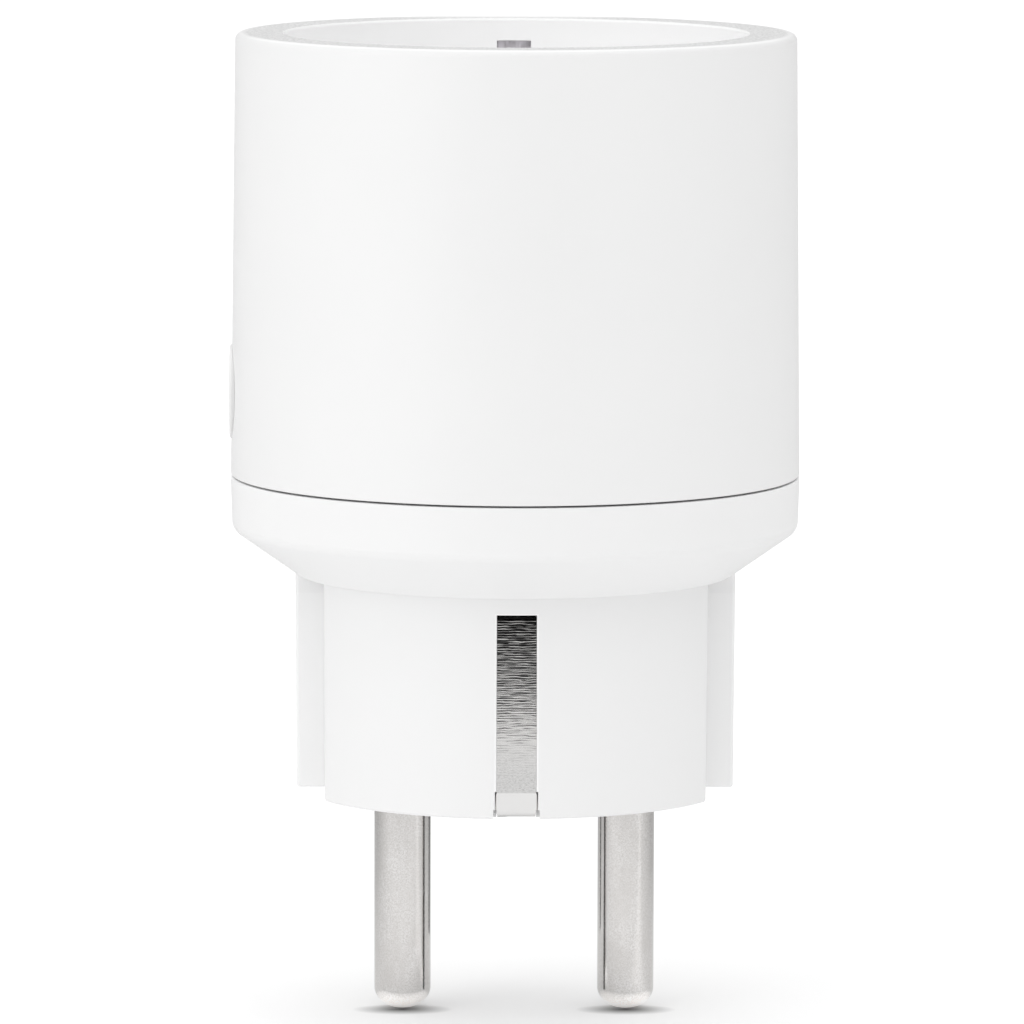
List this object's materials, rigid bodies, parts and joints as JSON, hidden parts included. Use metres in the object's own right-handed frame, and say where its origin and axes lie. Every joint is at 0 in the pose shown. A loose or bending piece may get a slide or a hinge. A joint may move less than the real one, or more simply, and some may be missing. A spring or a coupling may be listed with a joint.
{
  "type": "plug in power meter",
  "caption": "Round pass-through mains plug with a socket on top, a side push button, relay and metering electronics inside.",
  "frame": {"origin": "centre of the plug face, midway between the two mains pins where they leave the body", "axes": "+Z from the plug face to the socket on top, the two pins lie along X, the push button is at -X, one earth strip faces -Y"},
  "size_m": [0.0481, 0.048, 0.0832],
  "materials": {
    "housing": "satin white moulded polycarbonate",
    "button": "satin white moulded plastic",
    "pin_nickel": null,
    "earth_strip": "nickel plated strip with cross brushing",
    "earth_clip": "plated spring strip",
    "brass_strip": "bare strip",
    "contact_bronze": "bare phosphor bronze",
    "insulator": "moulded",
    "shutter_plastic": "moulded",
    "spring_steel": "drawn wire",
    "screw_steel": "zinc plated",
    "board": "solder mask over glass epoxy",
    "tin_shield": "tinned sheet",
    "chip": "moulded epoxy",
    "shunt_alloy": "bare resistance alloy",
    "fuse_case": "moulded",
    "varistor_coat": "dipped epoxy",
    "film_case": "moulded",
    "capacitor_sleeve": "heat-shrunk sleeve",
    "ferrite": "fired ferrite",
    "relay_plastic": "moulded",
    "coil_copper": "enamelled copper winding",
    "soft_iron": "plated iron",
    "plunger_plastic": "moulded",
    "led_resin": "clear resin"
  },
  "bodies": {
    "body": {"upper_housing": "housing", "lower_housing": "housing", "line_pin": "pin_nickel", "neutral_pin": "pin_nickel", "pin_retainer": "insulator", "plug_earth_strip_front": "earth_strip", "plug_earth_strip_rear": "earth_strip", "socket_earth_clip_front": "earth_clip", "socket_earth_clip_rear": "earth_clip", "earth_bridge": "brass_strip", "line_socket_contact": "contact_bronze", "neutral_socket_contact": "contact_bronze", "shutter_cover": "insulator", "shutter_spring": "spring_steel", "cover_screw_front": "screw_steel", "cover_screw_rear": "screw_steel", "board_screw_front": "screw_steel", "board_screw_rear": "screw_steel", "retainer_screw_front": "screw_steel", "retainer_screw_rear": "screw_steel", "main_pcb": "board", "control_pcb": "board", "radio_module": "board", "radio_shield": "tin_shield", "metering_chip": "chip", "voltage_regulator": "chip", "bridge_rectifier": "chip", "shunt_resistor": "shunt_alloy", "fuse": "fuse_case", "surge_varistor": "varistor_coat", "film_capacitor": "film_case", "bulk_capacitor": "capacitor_sleeve", "output_capacitor": "capacitor_sleeve", "filter_inductor": "ferrite", "relay_case": "relay_plastic", "relay_base": "relay_plastic", "relay_coil": "coil_copper", "relay_yoke": "soft_iron", "tact_switch_body": "chip", "status_led": "led_resin"},
    "button": {"button_cap": "button"},
    "switch_plunger": {"tact_plunger": "plunger_plastic"},
    "safety_shutter": {"shutter": "shutter_plastic"},
    "armature": {"relay_armature": "soft_iron"}
  },
  "joints": [
    {"name": "button_press", "type": "slide", "parent": "body", "child": "button", "axis": [1, 0, 0], "range_m": [0, 0.0004]},
    {"name": "plunger_press", "type": "slide", "parent": "body", "child": "switch_plunger", "axis": [1, 0, 0], "range_m": [0, 0.00028]},
    {"name": "shutter_turn", "type": "hinge", "parent": "body", "child": "safety_shutter", "pos_m": [0, 0, 0.0437], "axis": [0, 0, 1], "range_deg": [0, 35]},
    {"name": "armature_pull", "type": "hinge", "parent": "body", "child": "armature", "pos_m": [0.0048, 0.0077, 0.0116], "axis": [0, 1, 0], "range_deg": [-4, 0]}
  ],
  "couplings": [
    {"joint": "plunger_press", "follows": "button_press", "ratio": 0.7}
  ]
}
